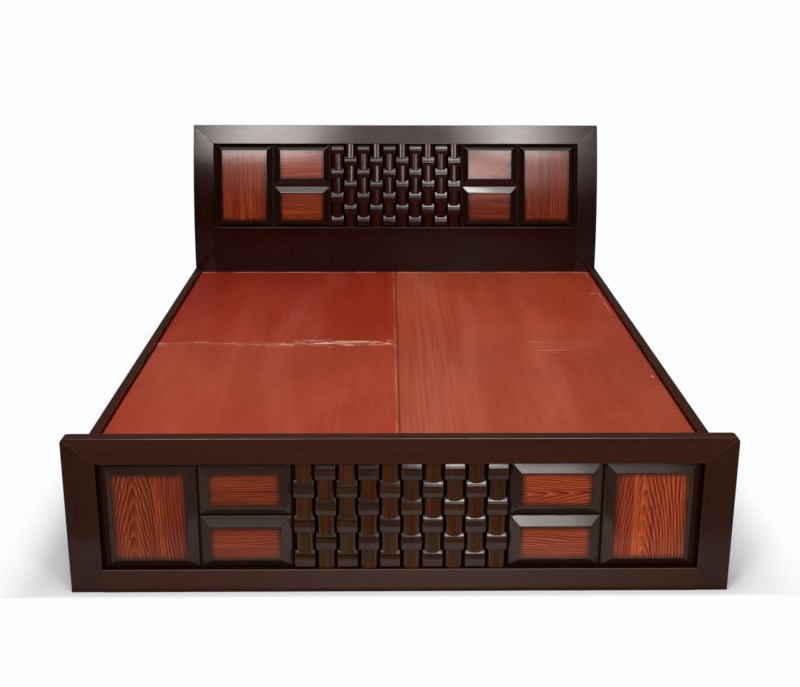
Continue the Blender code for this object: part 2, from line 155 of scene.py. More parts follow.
bpy.ops.mesh.primitive_plane_add(size=FLOOR_SIZE)
floor = bpy.context.object
floor.name = "studio_floor"
floor_paint, tree, _ = new_finish("floor_paint")
tree.nodes.clear()
x, y, _ = xyz(tree, object_place(tree))
beside = maths(tree, "SUBTRACT", maths(tree, "ABSOLUTE", x), HALF_WIDTH)
in_front = times(tree, maths(tree, "SUBTRACT", BED_FRONT, y), FRONT_HASTE)
behind = maths(tree, "SUBTRACT", y, BED_BACK)
away = maths(tree, "MAXIMUM", beside, maths(tree, "MAXIMUM", in_front, behind))
far_off = times(tree, looks_on(tree), spread(tree, away, FADE_START, FADE_END))
matt = add_node(tree, "BsdfDiffuse", {"Color": FLOOR_COLOUR})
white = add_node(tree, "Emission", {"Color": FLOOR_WHITE, "Strength": 1.0})
both = add_node(tree, "MixShader", {0: far_off, 1: matt.outputs[0], 2: white.outputs[0]})
add_node(tree, "OutputMaterial", {"Surface": both.outputs[0]})
floor.data.materials.append(floor_paint)

LYING = (0, 0, 0)
ACROSS = (math.pi / 2, 0, 0)
ALONG = (math.pi / 2, 0, math.pi / 2)
CURTAIN_SIZE = (14, 8, 1)
STRIP_COLOUR = (0.255, 0.230, 0.205)
for name, place, turn, size, colour in (
        ("floor_card", (0, 0, 0.002), LYING, (14, 14, 1), (0.100, 0.085, 0.075)),
        ("floor_strip", (0, -1.22, 0.004), LYING, (6, 0.26, 1), STRIP_COLOUR),
        ("front_curtain", (0, -7.0, 4.0), ACROSS, CURTAIN_SIZE, (0.030, 0.022, 0.018)),
        ("rear_curtain", (0, 7.0, 4.0), ACROSS, CURTAIN_SIZE, (0.230, 0.220, 0.210)),
        ("left_curtain", (-7.0, 0, 4.0), ALONG, CURTAIN_SIZE, (0.080, 0.070, 0.062)),
        ("right_curtain", (7.0, 0, 4.0), ALONG, CURTAIN_SIZE, (0.100, 0.088, 0.078))):
    bpy.ops.mesh.primitive_plane_add(size=1, location=place, rotation=turn)
    flag = bpy.context.object
    flag.name = name
    flag.scale = size
    flag.visible_camera = False
    flag.visible_diffuse = False
    flag.visible_shadow = False
    cloth, tree, shader = new_finish(name + "_cloth")
    plug(tree, shader, {"Base Color": (*colour, 1), "Specular IOR Level": 0.0})
    flag.data.materials.append(cloth)

# The strip is paler in its middle; these two lengths are shares of it.
PALE_AT = 0.02
PALE_REACH = 0.15
PALE_COLOUR = (0.540, 0.490, 0.445)
tree = bpy.data.materials["floor_strip_cloth"].node_tree
x, _, _ = xyz(tree, object_place(tree))
off_middle = maths(tree, "ABSOLUTE", maths(tree, "SUBTRACT", x, PALE_AT))
paler = blend(tree, spread(tree, off_middle, 0.0, PALE_REACH, 1.0, 0.0), STRIP_COLOUR, PALE_COLOUR)
plug(tree, tree.nodes["Principled BSDF"], {"Base Color": paler})

ROOM_LIGHT = 0.34
studio = bpy.data.worlds.new("studio")
bpy.context.scene.world = studio
studio.use_nodes = True
tree = studio.node_tree
level = maths(tree, "MAXIMUM", looks_on(tree), ROOM_LIGHT)
plug(tree, tree.nodes["Background"], {"Color": (1, 1, 1, 1), "Strength": level})

LAMP_COLOUR = (1.0, 0.945, 0.915)


def soft_box(name, place, aim, width, height, radiance):
    """A soft box of that size, pointed at a place."""
    bpy.ops.object.light_add(type="AREA", location=place)
    lamp = bpy.context.object
    lamp.name = name
    lamp.data.shape = "RECTANGLE"
    lamp.data.size = width
    lamp.data.size_y = height
    lamp.data.energy = radiance * math.pi * width * height
    lamp.data.color = LAMP_COLOUR
    lamp.rotation_euler = (Vector(aim) - Vector(place)).to_track_quat("-Z", "Y").to_euler()
    lamp.visible_camera = False
    return lamp


soft_box("overhead_box", (0.43, -0.45, 3.6), (0.15, 0.0, 0.3), 0.55, 0.9, 18.0)
soft_box("overhead_front", (0.05, -1.35, 3.6), (0.05, -0.4, 0.3), 1.2, 0.7, 9.0)
soft_box("overhead_right", (1.02, -0.45, 3.6), (0.3, 0.0, 0.3), 0.6, 0.9, 4.0)
soft_box("overhead_left", (-0.75, -0.45, 3.6), (-0.3, 0.0, 0.3), 1.2, 0.9, 2.2)
soft_box("right_box", (1.12, -3.2, 3.25), (0.4, 1.0, 0.8), 0.65, 1.9, 16.0)
soft_box("middle_box", (0.0, -3.2, 3.25), (0.0, 1.0, 0.8), 1.0, 1.9, 1.1)
soft_box("left_box", (-1.15, -3.2, 3.25), (-0.4, 1.0, 0.8), 0.90, 1.9, 16.0)
soft_box("low_box", (0.75, -5.0, 2.1), (0.3, -1.0, 0.3), 1.1, 0.9, 6.8)
soft_box("low_spot", (0.52, -4.9, 2.3), (0.2, -1.0, 0.3), 0.45, 0.6, 15.0)
soft_box("low_right_box", (1.65, -5.0, 2.25), (0.5, -1.0, 0.3), 0.7, 0.7, 1.4)
soft_box("low_left_box", (-0.9, -5.0, 1.95), (-0.3, -1.0, 0.3), 1.5, 0.5, 1.0)
rear_box = soft_box("rear_box", (0.0, 4.6, 1.2), (0.0, 1.0, 0.6), 3.4, 1.2, 4.5)
rear_box.visible_glossy = False


# Frames of the footboard and the headboard
# Sawn hardwood, 36 mm thick, mitred at the top corners and butted below, stained almost black under satin
# lacquer. The headboard's members are cut to an arc that leans back above the rails, and their backs, which
# stand to the wall, have a thinner and duller stain.
STILE_INSIDE = 0.848
END_DEPTH = 0.036
RECESS_DEPTH = 0.019
RABBET = 0.0143
JOINT_GAP = 0.0003
MITRE_ARRIS = 0.0009
RAIL_TOP = 0.369
HEAD_RADIUS = 2.100
HEAD_SLICES = 34
HAIR = 0.0001
NEAR = 0.0005
SLACK = 0.001
FACING = 0.9
SHARP = math.radians(35)
foot_end = SimpleNamespace(name="foot", front=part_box("foot_top_rail")[0].y, bottom=0.0, low=0.071,
                           high=0.400, top=0.477, corner=0.014, eased=0.002, leans=False)
head_end = SimpleNamespace(name="head", front=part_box("head_lower_board")[0].y, bottom=0.060, low=0.562,
                           high=0.953, top=1.0405, corner=0.004, eased=0.0012, leans=True)


def new_board(name, low, high):
    """A sawn block from its lowest to its highest corner, with its place in its mesh."""
    bpy.ops.object.select_all(action="DESELECT")
    size = [top - bottom for bottom, top in zip(low, high)]
    middle = [(bottom + top) / 2 for bottom, top in zip(low, high)]
    bpy.ops.mesh.primitive_cube_add(size=1, location=middle, scale=size)
    piece = bpy.context.object
    piece.name = name
    piece.data.name = name
    bpy.ops.object.transform_apply()
    return piece


def take(piece):
    """Select one piece and nothing else."""
    bpy.ops.object.select_all(action="DESELECT")
    bpy.context.view_layer.objects.active = piece
    piece.select_set(True)


def edit(piece):
    """Open one piece in edit mode."""
    take(piece)
    bpy.ops.object.mode_set(mode="EDIT")


def leave_edit():
    """Go back to object mode."""
    bpy.ops.object.mode_set(mode="OBJECT")


def pick(kind, test):
    """In edit mode, select only the edges or faces that pass a test."""
    bpy.ops.mesh.select_mode(type=kind)
    bpy.ops.mesh.select_all(action="DESELECT")
    mesh = bpy.context.edit_object.data
    shape = bmesh.from_edit_mesh(mesh)
    for part in shape.edges if kind == "EDGE" else shape.faces:
        if test(part):
            part.select_set(True)
    bmesh.update_edit_mesh(mesh)


def round_edges(test, width, segments=3):
    """In edit mode, round the edges that pass a test."""
    pick("EDGE", test)
    bpy.ops.mesh.bevel(offset=width, segments=segments, affect="EDGES")


def saw(point, normal, **keep):
    """In edit mode, cut the whole piece along a plane."""
    bpy.ops.mesh.select_all(action="SELECT")
    bpy.ops.mesh.bisect(plane_co=point, plane_no=normal, **keep)


def mitre_of(end, side):
    """A point on a top corner's mitre, and the mitre's normal, which points up and inwards."""
    normal = Vector((-side * (end.top - end.high), 0, HALF_WIDTH - STILE_INSIDE)).normalized()
    return Vector((side * STILE_INSIDE, 0, end.high)), normal


def round_corner(end, side):
    """In edit mode, round the top outer corner as seen from the front."""
    def at_corner(edge):
        return all(abs(v.co.x - side * HALF_WIDTH) < SLACK and abs(v.co.z - end.top) < SLACK
                   for v in edge.verts)

    round_edges(at_corner, end.corner, 8)


def is_sharp(edge):
    """Whether the two faces at an edge turn away from each other."""
    return edge.is_manifold and edge.calc_face_angle() > SHARP


def ease_edges(width, in_joint):
    """In edit mode, round every sharp edge that doesn't run from joint to joint."""
    round_edges(lambda edge: is_sharp(edge) and not all(in_joint(v.co) for v in edge.verts), width)


def ease_opening(end):
    """In edit mode, round the front edge that looks into the opening for the panels."""
    def beside_opening(edge):
        low, high = sorted(v.co.z for v in edge.verts)
        at_stile = all(abs(abs(v.co.x) - STILE_INSIDE) < NEAR for v in edge.verts)
        off_rail = min(abs(high - end.low), abs(high - end.high))
        upright = at_stile and low > end.low - NEAR
        across = high - low < HAIR and off_rail < NEAR
        in_front = all(v.co.y < end.front + HAIR for v in edge.verts)
        return is_sharp(edge) and (upright or across) and in_front

    round_edges(beside_opening, end.eased)


# Places in a member's list of stains, after the stain of its front.
MITRE = 1
RECESS_SHADE = 2
BACK = 3


def ease_mitre(end, in_joint):
    """In edit mode, take a fine arris off the front edge of a mitre, which shows as a line."""
    def at_front(edge):
        return all(in_joint(v.co) and v.co.y < end.front + HAIR for v in edge.verts)

    round_edges(at_front, MITRE_ARRIS, 1)
    mesh = bpy.context.edit_object.data
    for face in bmesh.from_edit_mesh(mesh).faces:
        slanted = -FACING < face.normal.y < -0.4
        if slanted and any(in_joint(v.co) for v in face.verts):
            face.material_index = MITRE
    bmesh.update_edit_mesh(mesh)


def cut_away(piece, cutter):
    """Cut one block out of a piece, and throw the block away."""
    take(piece)
    bpy.ops.object.modifier_add(type="BOOLEAN")
    cut = piece.modifiers[-1]
    cut.operation = "DIFFERENCE"
    cut.solver = "EXACT"
    cut.object = cutter
    bpy.ops.object.modifier_apply(modifier=cut.name)
    bpy.data.objects.remove(cutter)


def cut_rabbet(end, piece):
    """Take the back panel's seat out of the back of a member."""
    cutter = new_board("rabbet_cutter",
                       (-STILE_INSIDE - RABBET, end.front + RECESS_DEPTH, end.low - RABBET),
                       (STILE_INSIDE + RABBET, end.front + 2 * END_DEPTH, end.high + RABBET))
    cut_away(piece, cutter)


def lean_back(end, piece, slices=HEAD_SLICES):
    """Slice an upright piece of the headboard and lay it on the arc; leave the footboard's as it is."""
    if not end.leans:
        return
    if slices:
        edit(piece)
        for step in range(slices):
            saw((0, 0, RAIL_TOP + step * (end.top - RAIL_TOP) / slices), (0, 0, 1))
        leave_edit()
    for vertex in piece.data.vertices:
        rise = vertex.co.z - RAIL_TOP
        if rise > 0:
            radius = HEAD_RADIUS - (vertex.co.y - end.front)
            vertex.co.y = end.front + HEAD_RADIUS - radius * math.cos(rise / HEAD_RADIUS)
            vertex.co.z = RAIL_TOP + radius * math.sin(rise / HEAD_RADIUS)


def soften(piece, angle=40):
    """Smooth shading across eased edges and the arc, with the flat faces kept flat."""
    take(piece)
    bpy.ops.object.shade_smooth_by_angle(angle=math.radians(angle))
    bpy.ops.object.modifier_add(type="WEIGHTED_NORMAL")
    piece.modifiers[-1].keep_sharp = True
    bpy.ops.object.modifier_apply(modifier=piece.modifiers[-1].name)


def stand_for(piece, node):
    """The piece takes the place of a fixed CAD node."""
    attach(piece, "bedstead")
    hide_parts(node)


def noise(tree, place, scale, detail=3.0, rough=0.55, distortion=0.0):
    """Soft noise from 0 to 1, stretched by a scale on each axis."""
    mapped = add_node(tree, "Mapping", {"Vector": place, "Scale": scale}).outputs["Vector"]
    inputs = {"Vector": mapped, "Scale": 1.0, "Detail": detail, "Roughness": rough}
    return add_node(tree, "TexNoise", {**inputs, "Distortion": distortion}).outputs["Fac"]


def grain(axis, across, along):
    """Noise scales for wood: one across the grain and one along it."""
    return [along if name == axis else across for name in "XYZ"]


def ramp(tree, value, *stops):
    """Colours along a value, as (position, colour) stops."""
    made = add_node(tree, "ValToRGB", {"Fac": value})
    band = made.color_ramp.elements
    band[0].position, band[0].color = stops[0][0], (*stops[0][1], 1)
    band[1].position, band[1].color = stops[-1][0], (*stops[-1][1], 1)
    for position, colour in stops[1:-1]:
        band.new(position).color = (*colour, 1)
    return made.outputs["Color"]


def shaded(tree, colour, shade, red_shade=None):
    """A colour made lighter or darker by a value, and its red by another one where that is given."""
    red = shade if red_shade is None else red_shade
    tone = add_node(tree, "CombineColor", {0: red, 1: shade, 2: shade}).outputs[0]
    return blend(tree, 1.0, colour, tone, "MULTIPLY")


def bump(tree, height, strength, distance):
    """A fine relief, for a shader's normal."""
    inputs = {"Height": height, "Strength": strength, "Distance": distance}
    return add_node(tree, "Bump", inputs).outputs["Normal"]


STAIN_DARK = (0.0225, 0.0048, 0.0018)
STAIN_MIDDLE = (0.0275, 0.0062, 0.0023)
STAIN_LIGHT = (0.0345, 0.0088, 0.0036)


def dark_stain(name, along, tint, gloss=0.13, shine=0.5, upright_shine=None):
    """Almost black stain under satin lacquer, with the grain along one axis.

    On a carving, which gives upright_shine, the colour is darker in the hollows and lighter on the crowns,
    painted shade and light by depth, and its upright strands are less polished.
    """
    material, tree, shader = new_finish(name)
    place = object_place(tree)
    figure = noise(tree, place, grain(along, 38.0, 1.7), detail=5, distortion=0.6)
    fibres = noise(tree, place, grain(along, 420.0, 9.0), detail=2)
    cloud = noise(tree, place, (2.3, 2.3, 2.3), detail=2)
    wood = ramp(tree, figure, (0.28, STAIN_DARK), (0.52, STAIN_MIDDLE), (0.78, STAIN_LIGHT))
    shade = spread(tree, fibres, 0.35, 0.70, 0.84, 1.12)
    red_shade = None
    mirror = shine
    sheen = spread(tree, cloud, 0.3, 0.7, gloss, gloss + 0.06)
    sheen = maths(tree, "ADD", sheen, spread(tree, fibres, 0.3, 0.8, 0.0, 0.04))
    if upright_shine:
        crest = add_node(tree, "Attribute", attribute_name="crest").outputs["Fac"]
        strand = add_node(tree, "Attribute", attribute_name="strand").outputs["Fac"]
        # painted shade: darker the deeper a point lies, lighter on the crowns, most of all on the upright
        # strands
        shade = times(tree, shade, spread(tree, crest, 0.25, 1.5, 0.18, 1.45))
        bands = spread(tree, noise(tree, place, (130.0, 130.0, 3.0), detail=2), 0.35, 0.65, 0.80, 1.20)
        shade = times(tree, shade, bands)
        red_shade = times(tree, shade, spread(tree, strand, 0.0, 1.0, 0.92, 1.25))
        sheen = maths(tree, "ADD", sheen, spread(tree, crest, 0.02, 0.35, 0.60, 0.0))
        mirror = times(tree, spread(tree, crest, 0.05, 0.45, 0.0, shine),
                       spread(tree, crest, 1.05, 1.40, 1.0, upright_shine))
    wood = shaded(tree, blend(tree, 1.0, wood, tint, "MULTIPLY"), shade, red_shade)
    relief = maths(tree, "ADD", fibres, times(tree, figure, 0.6))
    plug(tree, shader, {"Base Color": wood, "Roughness": sheen, "Specular IOR Level": mirror,
                        "Normal": bump(tree, relief, 0.03 if upright_shine else 0.06, 0.0006)})
    return material


FOOT_TINT = (0.96, 1.02, 0.92)
FOOT_UPRIGHT_TINT = (0.72, 0.78, 0.68)
# The footboard's pale line on its mitres and on the arris below the panels is a painted highlight.
FOOT_MITRE_HIGHLIGHT_TINT = (1.35, 1.5, 1.6)
# The headboard's tint is darker and redder than the footboard's: painted shade for the less light that
# reaches it.
HEAD_SHADED_TINT = (0.40, 0.22, 0.12)
HEAD_MITRE_TINT = (0.1, 0.1, 0.1)
BACK_TINT = (1.9, 2.4, 2.9)
BACK_GLOSS = 0.42
BACK_SHINE = 0.3
RECESS_SHADE_TINT = (0.30, 0.24, 0.20)
foot_end.upright_stain = dark_stain("foot_stain_upright", "Z", FOOT_UPRIGHT_TINT)
foot_end.across_stain = dark_stain("foot_stain_across", "X", FOOT_TINT)
foot_end.low_stain = foot_end.across_stain
foot_end.mitre_stain = dark_stain("foot_mitre_highlight", "X", FOOT_MITRE_HIGHLIGHT_TINT, 0.35)
foot_end.upright_back = foot_end.upright_stain
foot_end.across_back = foot_end.across_stain
head_end.upright_stain = dark_stain("head_stain_upright", "Z", HEAD_SHADED_TINT)
head_end.across_stain = dark_stain("head_stain_across", "X", HEAD_SHADED_TINT)
head_end.low_stain = dark_stain("head_stain_low", "X", HEAD_SHADED_TINT, 0.16, 0.2)
head_end.mitre_stain = dark_stain("head_stain_mitre", "X", HEAD_MITRE_TINT)
head_end.upright_back = dark_stain("head_back_upright", "Z", BACK_TINT, BACK_GLOSS, BACK_SHINE)
head_end.across_back = dark_stain("head_back_across", "X", BACK_TINT, BACK_GLOSS, BACK_SHINE)
# Near black, for the recess walls and the back panel's face: painted shade.
recess_painted_shade = dark_stain("recess_painted_shade", "X", RECESS_SHADE_TINT, 0.60, 0.04)


def finish_member(end, piece, node, front_stain, back_stain):
    """Rabbet, stain, bend and smooth a member that has been sawn to shape; its recess walls get near-black
    painted shade.
    """
    leave_edit()
    cut_rabbet(end, piece)
    for stain in (front_stain, end.mitre_stain, recess_painted_shade, back_stain):
        piece.data.materials.append(stain)
    for face in piece.data.polygons:
        x, y, z = face.center
        in_opening = abs(x) < STILE_INSIDE + SLACK and end.low - SLACK < z < end.high + SLACK
        in_recess = end.front + 3 * SLACK < y < end.front + RECESS_DEPTH
        looks_in = max(abs(face.normal.x), abs(face.normal.z)) > FACING
        slopes_up = face.normal.y < -0.1 and face.normal.z > 0.1
        # The recess walls get painted shade.
        if in_opening and in_recess and looks_in:
            face.material_index = RECESS_SHADE
        # The upward arris along the foot of the opening takes the line stain: on the footboard, a painted
        # highlight.
        elif slopes_up and abs(z - end.low) < 2 * SLACK:
            face.material_index = MITRE
        elif face.normal.y > FACING:
            face.material_index = BACK
    lean_back(end, piece)
    soften(piece)
    stand_for(piece, node)


def stile(end, node, side):
    """An upright member: mitred above, butted by the lower rail."""
    x = sorted((side * STILE_INSIDE, side * HALF_WIDTH))
    back = end.front + END_DEPTH
    piece = new_board("stained_" + node, (x[0], end.front, 0), (x[1], back, end.top))
    edit(piece)
    round_corner(end, side)
    point, normal = mitre_of(end, side)
    saw(point - normal * JOINT_GAP / 2, normal, use_fill=True, clear_outer=True)
    saw((0, 0, end.low), (0, 0, 1))

    def in_mitre(co):
        return abs((co - point).dot(normal)) < NEAR

    def in_joint(co):
        butted = abs(co.x - side * STILE_INSIDE) < NEAR and co.z < end.low + NEAR
        return butted or in_mitre(co)

    ease_edges(end.eased, in_joint)
    ease_mitre(end, in_mitre)
    ease_opening(end)
    finish_member(end, piece, node, end.upright_stain, end.upright_back)


def top_rail(end, node):
    """The top rail, mitred at both ends."""
    low = (-HALF_WIDTH, end.front, end.high)
    piece = new_board("stained_" + node, low, (HALF_WIDTH, end.front + END_DEPTH, end.top))
    edit(piece)
    for side in (-1, 1):
        round_corner(end, side)
    for side in (-1, 1):
        point, normal = mitre_of(end, side)
        saw(point + normal * JOINT_GAP / 2, normal, use_fill=True, clear_inner=True)

    def in_mitre(co):
        point, normal = mitre_of(end, math.copysign(1, co.x))
        return abs((co - point).dot(normal)) < NEAR

    ease_edges(end.eased, in_mitre)
    ease_mitre(end, in_mitre)
    ease_opening(end)
    finish_member(end, piece, node, end.across_stain, end.across_back)


def low_rail(end, node):
    """The rail or board below the panels, butted between the stiles."""
    reach = STILE_INSIDE - JOINT_GAP
    piece = new_board("stained_" + node, (-reach, end.front, end.bottom),
                      (reach, end.front + END_DEPTH, end.low))
    edit(piece)
    ease_edges(end.eased, lambda co: abs(abs(co.x) - reach) < NEAR)
    ease_opening(end)
    finish_member(end, piece, node, end.low_stain, end.across_back)


for end, upright, low_name in ((foot_end, "stile", "bottom_rail"), (head_end, "post", "lower_board")):
    name = end.name
    stile(end, f"{name}_left_{upright}", -1)
    stile(end, f"{name}_right_{upright}", 1)
    top_rail(end, f"{name}_top_rail")
    low_rail(end, f"{name}_{low_name}")


# Back panels
# A sheet of 12 mm plywood let into the rabbet behind each frame. Its face, which shows between the raised
# panels, is near black: painted shade in the recess. The footboard's inner side has the frame's stain; the
# headboard's back is left bare.
PLY = 0.012
PLY_ARRIS = 0.0006
PLY_LINES = 9.0
PLY_PALE = (0.46, 0.29, 0.155)
PLY_MIDDLE = (0.42, 0.255, 0.13)
PLY_DARK = (0.33, 0.185, 0.09)
PLY_NEXT = (0.44, 0.27, 0.14)


def raw_ply(name, along):
    """Bare rotary-cut plywood: pale, with broad wavy figure along one axis."""
    material, tree, shader = new_finish(name)
    place = object_place(tree)
    waves = noise(tree, place, grain(along, 9.0, 0.9), detail=4, distortion=1.2)
    lines = maths(tree, "FRACT", times(tree, waves, PLY_LINES))
    fibres = noise(tree, place, grain(along, 260.0, 6.0), detail=2)
    wood = ramp(tree, lines, (0.0, PLY_PALE), (0.55, PLY_MIDDLE), (0.9, PLY_DARK), (1.0, PLY_NEXT))
    wood = shaded(tree, wood, spread(tree, fibres, 0.3, 0.7, 0.86, 1.08))
    plug(tree, shader, {"Base Color": wood, "Roughness": 0.68,
                        "Normal": bump(tree, fibres, 0.12, 0.0006)})
    return material


ply_across = raw_ply("raw_ply_across", "X")
for end, inner in ((foot_end, foot_end.across_stain), (head_end, ply_across)):
    node = end.name + "_back_panel"
    lap = RABBET - JOINT_GAP
    reach = STILE_INSIDE + lap
    seat = end.front + RECESS_DEPTH + JOINT_GAP
    sheet = new_board("fitted_" + node, (-reach, seat, end.low - lap),
                      (reach, seat + PLY, end.high + lap))
    edit(sheet)
    ease_edges(PLY_ARRIS, lambda co: False)
    leave_edit()
    lean_back(end, sheet)
    soften(sheet)
    sheet.data.materials.append(inner)
    sheet.data.materials.append(recess_painted_shade)
    # The face that looks out between the panels gets painted shade.
    for face in sheet.data.polygons:
        face.material_index = 1 if face.normal.y < -0.5 else 0
    stand_for(sheet, node)


# Raised panels
# Blocks bevelled on all four sides up to a flat field. The field is faced with red flame-grained veneer,
# and the bevels and the field's rim are sprayed almost black before the lacquer.
PANEL_UPSTAND = 0.002
PANEL_BEVEL = 0.028
PANEL_LIFT = 0.015
PANEL_ARRIS = 0.0013
PANEL_GAP = 0.007
PANEL_END_GAP = 0.003
SMALL_REACH = (0.309, 0.5665)
TALL_REACH = (0.5735, 0.8375)
TALL_RINGS = 102.0
SMALL_RINGS = 138.0
ARCH_POINT = 0.007
VENEER_PALE = (0.410, 0.0740, 0.0185)
VENEER_WARM = (0.335, 0.0510, 0.0120)
VENEER_RED = (0.205, 0.0215, 0.0062)
VENEER_DARK = (0.110, 0.0100, 0.0040)
VENEER_CALM = (0.185, 0.0185, 0.0070)
VENEER_STREAK = (0.400, 0.0720, 0.0150)
FOOT_SPRAY = (0.0165, 0.0072, 0.0040)
HEAD_SPRAY = (0.0085, 0.0020, 0.0008)


def veneer(name, half, upright, centre, taper, seed, light, spray):
    """Flat-sawn veneer: growth lines that meet in pointed arches, sprayed dark towards the field's rim.

    half is the field's half width and height. The arches stand in a row that lies centre to the side of the
    panel's middle, and taper says how blunt they are and which way they point.
    """
    material, tree, shader = new_finish(name)
    u, v, _ = xyz(tree, add_node(tree, "UVMap", uv_map="panel").outputs["UV"])
    along, across = (v, u) if upright else (u, v)
    flat = add_node(tree, "CombineXYZ", {"X": across, "Y": along, "Z": seed}).outputs[0]

    # growth lines, numbered outwards from the row of arches
    wander = noise(tree, flat, (11.0, 3.0, 1.0), detail=2)
    ripple = noise(tree, flat, (55.0, 3.0, 1.0), detail=2)
    sideways = maths(tree, "ADD", across, maths(tree, "MULTIPLY_ADD", wander, 0.030, -0.015 - centre))
    off_row = add_node(tree, "CombineXYZ", {"X": sideways, "Y": ARCH_POINT}).outputs[0]
    off_row = add_node(tree, "VectorMath", {0: off_row}, operation="LENGTH").outputs["Value"]
    slant = times(tree, along, taper, spread(tree, off_row, 0.015, 0.09, 1.0, 0.3))
    rings = TALL_RINGS if upright else SMALL_RINGS
    turns = times(tree, maths(tree, "ADD", off_row, slant), rings)
    ring = maths(tree, "FRACT", maths(tree, "MULTIPLY_ADD", ripple, 0.7, turns))
    wood = ramp(tree, ring, (0.0, VENEER_PALE), (0.20, VENEER_WARM), (0.55, VENEER_RED),
                (0.86, VENEER_DARK), (1.0, VENEER_PALE))

    # calm patches, broad pale streaks and fine lines over them
    calm = noise(tree, flat, (8.0, 1.6, 1.0), detail=2)
    wood = blend(tree, spread(tree, calm, 0.46, 0.64, 0.0, 0.65), wood, VENEER_CALM)
    broad = noise(tree, flat, (26.0, 1.8, 1.0), detail=3)
    wood = blend(tree, spread(tree, broad, 0.48, 0.68, 0.0, 0.65), wood, VENEER_STREAK)
    lines = noise(tree, flat, (230.0, 2.4, 1.0), detail=3)
    fibres = noise(tree, flat, (620.0, 16.0, 1.0), detail=2)
    shade = times(tree, spread(tree, lines, 0.32, 0.66, 0.60, 1.16),
                  spread(tree, fibres, 0.3, 0.7, 0.84, 1.1))
    # the veneer's own tone with painted shade on it
    wood = shaded(tree, wood, times(tree, shade, light))

    # the dark spray comes in over the field's rim
    inside_u = maths(tree, "SUBTRACT", half[0], maths(tree, "ABSOLUTE", u))
    inside_v = maths(tree, "SUBTRACT", half[1], maths(tree, "ABSOLUTE", v))
    inside = maths(tree, "SMOOTH_MIN", inside_u, inside_v, 0.024)
    drift = noise(tree, flat, (30.0, 30.0, 1.0), detail=2)
    inside = maths(tree, "ADD", inside, maths(tree, "MULTIPLY_ADD", drift, 0.006, -0.003))
    clear = spread(tree, inside, -0.003, 0.0195)
    gloss = times(tree, spread(tree, fibres, 0.3, 0.8, 0.16, 0.22),
                  spread(tree, inside, -0.004, 0.004, 0.7, 1.0))
    dusty = spread(tree, inside, -PANEL_BEVEL, 0.003 - PANEL_BEVEL, 0.75, 0.0)
    plug(tree, shader, {"Base Color": blend(tree, clear, spray, wood), "Specular IOR Level": 0.5,
                        "Roughness": maths(tree, "MAXIMUM", gloss, dusty),
                        "Normal": bump(tree, maths(tree, "ADD", fibres, lines), 0.06, 0.0004)})
    return material


def raised_panel(end, node, x, z, material):
    """Inset the front face of a thin block, lift the field and take off the sharp edges."""
    seat = end.front + RECESS_DEPTH
    rim = seat - PANEL_UPSTAND
    piece = new_board("veneered_" + node, (x[0], rim, z[0]), (x[1], seat, z[1]))
    edit(piece)
    pick("FACE", lambda face: face.normal.y < -0.5)
    bpy.ops.mesh.inset(thickness=PANEL_BEVEL, depth=0)
    bpy.ops.transform.translate(value=(0, -PANEL_LIFT, 0))
    round_edges(lambda edge: all(v.co.y < rim + NEAR for v in edge.verts), PANEL_ARRIS)
    leave_edit()
    layer = piece.data.uv_layers.active
    layer.name = "panel"
    for loop in piece.data.loops:
        co = piece.data.vertices[loop.vertex_index].co
        layer.data[loop.index].uv = (co.x - (x[0] + x[1]) / 2, co.z - (z[0] + z[1]) / 2)
    lean_back(end, piece)
    soften(piece, angle=24)
    piece.data.materials.append(material)
    stand_for(piece, node)


# For each panel: where the row of arches lies, their taper, a seed and how light the veneer is, its own
# tone together with painted shade that makes the footboard's left panels darker than its right ones.
VENEERS = {
    "foot_tall_panel_left": (-0.046, 0.20, 1.3, 0.60),
    "foot_small_panel_left_upper": (0.085, 0.06, 2.7, 0.50),
    "foot_small_panel_left_lower": (-0.085, 0.06, 3.9, 0.62),
    "foot_small_panel_right_upper": (-0.012, 0.12, 5.2, 0.84),
    "foot_small_panel_right_lower": (0.070, -0.09, 6.6, 0.85),
    "foot_tall_panel_right": (-0.020, 0.21, 7.4, 0.92),
    "head_tall_panel_left": (0.120, 0.10, 8.1, 0.64),
    "head_small_panel_left_upper": (0.080, 0.06, 9.5, 0.80),
    "head_small_panel_left_lower": (-0.060, 0.10, 10.3, 0.64),
    "head_small_panel_right_upper": (-0.028, 0.12, 11.8, 0.66),
    "head_small_panel_right_lower": (0.070, -0.09, 12.6, 0.46),
    "head_tall_panel_right": (-0.120, 0.10, 13.2, 0.50),
}
for end, spray in ((foot_end, FOOT_SPRAY), (head_end, HEAD_SPRAY)):
    low = end.low + PANEL_END_GAP
    high = end.high - PANEL_END_GAP
    middle = (low + high) / 2
    for side, sign in (("left", -1), ("right", 1)):
        for kind, reach, z in (("tall_panel_" + side, TALL_REACH, (low, high)),
                               (f"small_panel_{side}_lower", SMALL_REACH, (low, middle - PANEL_GAP / 2)),
                               (f"small_panel_{side}_upper", SMALL_REACH, (middle + PANEL_GAP / 2, high))):
            node = f"{end.name}_{kind}"
            x = sorted(sign * edge for edge in reach)
            half = ((x[1] - x[0]) / 2 - PANEL_BEVEL, (z[1] - z[0]) / 2 - PANEL_BEVEL)
            finish = veneer("veneer_" + node, half, reach == TALL_REACH, *VENEERS[node], spray)
            raised_panel(end, node, x, z, finish)


